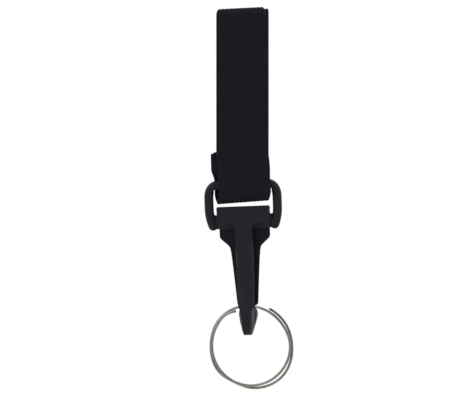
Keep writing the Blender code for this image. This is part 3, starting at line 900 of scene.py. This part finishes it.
def head(bm):
    half, stem, neck = hook["headWidth"] / 2, hook["spineWidth"] / 2, hook["headNeck"]
    rings = []
    layers = ((0.0, -hook["headFront"]), (1.0, hook["housingFront"]), (1.0, hook["headBack"]))
    for share, depth in layers:
        bottom = hook["headTop"] + hook["headHeight"] + hook["headSlope"] * share
        right = [
            (half, hook["headTop"]),
            (half, bottom),
            (half - neck, bottom + neck / 2),
            (stem + neck, bottom + neck / 2),
            (stem, bottom + neck),
        ]
        outline = right + [(-x, drop) for x, drop in reversed(right)]
        rings.append([(x, depth, -drop) for x, drop in outline])
    block(bm, rings)


def housing(bm):
    half = gate["shoulderWidth"] / 2
    back = gate["pivotBack"] + gate["barrel"] / 2 + fitGap + hook["lip"]
    low = gate["pivotDrop"] + gate["snap"]
    bevel = hook["edgeBevel"]
    profile = [
        (hook["housingFront"], low),
        (back - bevel, low),
        (back, low - hook["lip"]),
        (back, hook["housingTop"] + hook["housingSlope"]),
        (between(hook["headBack"], back, hook["housingShoulder"]), hook["housingTop"] + bevel),
        (hook["headBack"] - bevel, hook["housingTop"]),
        (hook["housingFront"], hook["housingTop"]),
    ]
    block(bm, [[(x, depth, -drop) for depth, drop in profile] for x in (-half, half)])


def snapHook():
    bm = bmesh.new()
    bridgeRings(bm, fineRings(spineSections(), hook["spineSteps"]))
    head(bm)
    housing(bm)
    webFrame(bm)
    piece = moulded(bm, "hookMoulding", hook["voxel"], hook["easeRounds"])
    cutters = []
    for name, shape in (("relief", cornerRelief()), ("groove", barrelGroove())):
        bmesh.ops.recalc_face_normals(shape, faces=shape.faces[:])
        cutters.append(newObject(name, meshFrom(shape, name)))
        cut = piece.modifiers.new(name, "BOOLEAN")
        cut.operation, cut.solver, cut.object = "DIFFERENCE", "EXACT", cutters[-1]
    applied(piece)
    for cutter in cutters:
        bpy.data.objects.remove(cutter)
    piece.data.transform(hookPlace)
    finish = plasticFinish("black moulding", hook["tintAndPaintedShade"])
    return placePiece(piece, "hook", finish, "snap_hook")


# Gate leaf with its barrel


def gateHalfWidth(drop):
    leafTop = gate["shoulderDrop"] + gate["curveDrop"]
    end = gateEndDrop - gate["pivotDrop"]
    if drop <= leafTop:
        share = smoothShare((drop - gate["shoulderDrop"]) / gate["curveDrop"])
        return between(gate["shoulderWidth"], gate["leafWidth"], share) / 2
    share = (drop - leafTop) / (end - leafTop)
    taper = between(share, math.sqrt(share), gate["flare"])
    return between(gate["leafWidth"], gate["tipWidth"], taper) / 2


def gateRing(drop, centre, thick, half):
    # the leaf's four corners at one height
    front, back = centre - thick / 2, centre + thick / 2
    return [(x, y, -drop) for x, y in ((half, back), (-half, back), (-half, front), (half, front))]


def hookGate():
    radius = gate["barrel"] / 2
    end = gateEndDrop - gate["pivotDrop"]
    tipCentre = gate["tipFront"] + gate["thickness"] / 2 - gate["pivotBack"]
    leafFrom = math.sqrt(radius**2 - (gate["thickness"] / 2) ** 2)
    leafTop = gate["shoulderDrop"] + gate["curveDrop"]
    rings = []
    for share in spread(gate["barrelFrom"], 1.0, gate["barrelSteps"]):
        angle = math.pi - (math.pi - math.asin(gate["thickness"] / gate["barrel"])) * share
        drop, thick = radius * math.cos(angle), gate["barrel"] * math.sin(angle)
        rings.append(gateRing(drop, 0.0, thick, gate["shoulderWidth"] / 2))
    drops = spread(leafFrom, gate["shoulderDrop"], gate["shoulderSteps"])
    drops += spread(gate["shoulderDrop"], leafTop, gate["curveSteps"])
    drops += spread(leafTop, end - gate["corner"], gate["leafSteps"])
    for drop in drops:
        centre = tipCentre * max(drop - leafFrom, 0.0) / (end - leafFrom)
        rings.append(gateRing(drop, centre, gate["thickness"], gateHalfWidth(drop)))
    for angle in [math.radians(degrees) for degrees in gate["endTurns"]]:
        drop = end - gate["corner"] + gate["corner"] * math.sin(angle)
        half = gate["tipWidth"] / 2 - gate["corner"] * (1 - math.cos(angle))
        centre = tipCentre * (drop - leafFrom) / (end - leafFrom)
        rings.append(gateRing(drop, centre, gate["thickness"], half))
    bm = bmesh.new()
    bridgeRings(bm, rings)
    piece = moulded(bm, "gateLeaf", gate["voxel"], gate["easeRounds"])
    local = Matrix.Translation((0, gate["pivotBack"], -gate["pivotDrop"]))
    piece.data.transform(hookPlace @ local)
    # the gate's finish is darkened with painted shade
    return placePiece(piece, "gate", plasticFinish("black gate", gate["tintAndPaintedShade"]), "hook_gate")


# Split ring

# the wire's distance from the ring's middle: angle in degrees, counted on through both turns,
# and share of the radius
ringRows = (
    (111, 0.952),
    (117, 0.975),
    (125, 1.002),
    (150, 0.992),
    (190, 0.979),
    (245, 0.987),
    (315, 0.986),
    (360, 0.992),
    (395, 0.965),
    (422, 0.978),
    (455, 1.014),
    (485, 1.042),
    (540, 1.022),
    (573, 1.046),
    (605, 1.006),
    (630, 1.054),
    (672, 1.092),
    (722, 1.032),
    (750, 1.036),
    (782, 1.046),
)


def ringRadius(angle):
    # a smooth curve through the rows
    places, shares = np.array(ringRows).T
    slopes = np.gradient(shares, places)
    spot = math.degrees(angle)
    i = min(max(int(np.searchsorted(places, spot)) - 1, 0), len(places) - 2)
    span = places[i + 1] - places[i]
    part = (spot - places[i]) / span
    line = between(shares[i], shares[i + 1], part * part * (3 - 2 * part))
    bendIn = part * (1 - part) ** 2 * span * slopes[i]
    bendOut = part**2 * (1 - part) * span * slopes[i + 1]
    return ring["radius"] * (line + bendIn - bendOut)


def ringPoint(angle):
    # the wire steps from its first turn to its second at the joggle
    along = angle - 2 * math.pi - ring["joggleFrom"]
    joggle = smoothShare(along / (ring["joggleTo"] - ring["joggleFrom"]))
    radius = ringRadius(angle)
    depth = (joggle - 0.5) * (ring["wire"] + ring["turnGap"])
    return Vector((radius * math.cos(angle), depth, radius * math.sin(angle)))


def splitRing():
    first, last = ring["firstEnd"], ring["lastEnd"] + 4 * math.pi
    crossing = 2 * math.pi + math.acos(-ring["shift"] / ring["radius"])
    start = ringPoint(crossing)
    angles = [between(first, last, i / ring["steps"]) for i in range(ring["steps"] + 1)]
    points = [ringPoint(angle) - start for angle in angles]
    sizes = (ring["wire"] / 2, ring["wireDepth"] / 2)
    bm = bmesh.new()
    lay = bm.verts.layers.float_vector.new("lay")
    bmesh.ops.create_grid(bm, x_segments=ring["sides"], y_segments=ring["steps"], size=0.5)
    for vert in bm.verts:
        i, k = gridSpot(vert, ring["sides"], ring["steps"])
        run = points[min(k + 1, ring["steps"])] - points[max(k - 1, 0)]
        out = Vector((0, 1, 0)).cross(run).normalized()
        side = run.cross(out).normalized()
        a = 2 * math.pi * i / ring["sides"]
        reach = [
            math.copysign(abs(trace) ** ring["squareness"], trace) * size
            for trace, size in zip((math.cos(a), math.sin(a)), sizes)
        ]
        inset = 1 - ring["endInset"] * (k in (0, ring["steps"]))
        vert.co = points[k] + (out * reach[0] + side * reach[1]) * inset
        vert[lay] = (ring["radius"] * angles[k], sizes[0] * math.cos(a), sizes[0] * math.sin(a))
    closeTube(bm, ring["weld"])
    bm.transform(hookPlace @ Matrix.Translation((0, -ring["forward"], -ring["drop"])))
    piece = newObject("splitRing", meshFrom(bm, "splitRing"))
    return placePiece(piece, "ring", wireFinish(), "split_ring")


webbing()
stitchRows()
snapHook()
hookGate()
splitRing()
print("pieces made")

# Floor, light and camera

studio = {
    "floorZ": -0.290,
    "floorHalf": 1.0,
    "paper": (0.86, 0.86, 0.86, 1),
    "paperRough": 0.9,
    "paperShine": 0.1,
    "paperGlow": 0.93,
    "paperFade": (0.30, 0.85),  # from here on the paper is as white as the backdrop
    "worldGlow": 0.30,
    "dimSide": 0.12,  # what a mirror sees of the room on the camera's side
    "dimFade": (-0.70, 0.45),  # from the camera's side to the backdrop
    "sensor": 36.0,
    "distance": 1.20,
    "aimX": -0.00846,
    "aimZ": -0.0919,
    "frameWidth": 0.2187,
}
lamps = (
    # name, place, size, watts
    ("leftKey", (-0.60, -0.60, 0.30), 0.90, 4.0),
    ("rightFill", (0.70, -0.50, 0.15), 0.90, 2.8),
    ("topSoft", (0.05, -0.15, 0.80), 1.00, 4.0),
    ("backRim", (0.10, 0.80, 0.20), 0.90, 2.8),
)


def lookers(finish):
    # two channels that are 1 for what the eye sees and for what mirrors and glass see
    eye = finish.node("ShaderNodeLightPath", {}, {}, "Is Camera Ray")
    rays = eye.socket.node.outputs
    glossy = Channel(finish, rays["Is Glossy Ray"])
    return eye, glossy.only("MAXIMUM", Channel(finish, rays["Is Transmission Ray"]))


def studioFloor():
    bm = bmesh.new()
    bmesh.ops.create_grid(bm, x_segments=1, y_segments=1, size=studio["floorHalf"])
    bm.transform(Matrix.Translation((0, 0, studio["floorZ"])))
    floor = newObject("paperFloor", meshFrom(bm, "paperFloor"))
    finish = Finish("white paper")
    finish.surface(
        Base_Color=studio["paper"],
        Roughness=studio["paperRough"],
        Specular_IOR_Level=studio["paperShine"],
    )
    paper = Channel(finish, finish.shader.outputs[0])
    glow = finish.node("ShaderNodeEmission", {}, {"Color": (1, 1, 1, 1), "Strength": 1.0})
    away = finish.node("ShaderNodeVectorMath", {"operation": "LENGTH"}, {0: finish.place()}, 1)
    share = finish.fade(away, studio["paperFade"], studio["paperGlow"], 1.0)
    eye, mirror = lookers(finish)
    share = eye.only("MAXIMUM", mirror) * share
    shown = finish.node("ShaderNodeMixShader", {}, {0: share, 1: paper, 2: glow})
    finish.tree.links.new(shown.socket, finish.tree.nodes["Material Output"].inputs["Surface"])
    floor.data.materials.append(finish.made)


def studioWorld():
    # a white backdrop behind the object and a dim room on the camera's side
    room = Finish("pale room", "worlds")
    bpy.context.scene.world = room.made
    way = room.node("ShaderNodeTexCoord", {}, {}, "Generated")
    ahead = room.node("ShaderNodeSeparateXYZ", {}, {0: way}, "Y")
    pale = room.fade(ahead, studio["dimFade"], studio["dimSide"], 1.0)
    eye, mirror = lookers(room)
    plain = studio["worldGlow"] * (1 - mirror) + pale * mirror
    room.surface(Color=(1, 1, 1, 1), Strength=plain * (1 - eye) + eye)


def studioLamps():
    target = Vector((0, 0, studio["aimZ"]))
    for name, place, size, watts in lamps:
        light = bpy.data.lights.new(name, "AREA")
        light.shape = "SQUARE"
        light.size = size
        light.energy = watts
        lamp = newObject(name, light)
        lamp.location = place
        lamp.rotation_euler = (target - Vector(place)).to_track_quat("-Z", "Y").to_euler()


def studioCamera():
    camera = bpy.data.cameras.new("camera")
    camera.sensor_fit = "HORIZONTAL"
    camera.sensor_width = studio["sensor"]
    camera.lens = studio["sensor"] * studio["distance"] / studio["frameWidth"]
    shot = newObject("camera", camera)
    shot.location = (studio["aimX"], -studio["distance"], studio["aimZ"])
    shot.rotation_euler = (math.pi / 2, 0, 0)
    bpy.context.scene.camera = shot


studioFloor()
studioWorld()
studioLamps()
studioCamera()
bpy.context.scene.view_settings.view_transform = "Standard"
print("studio set")
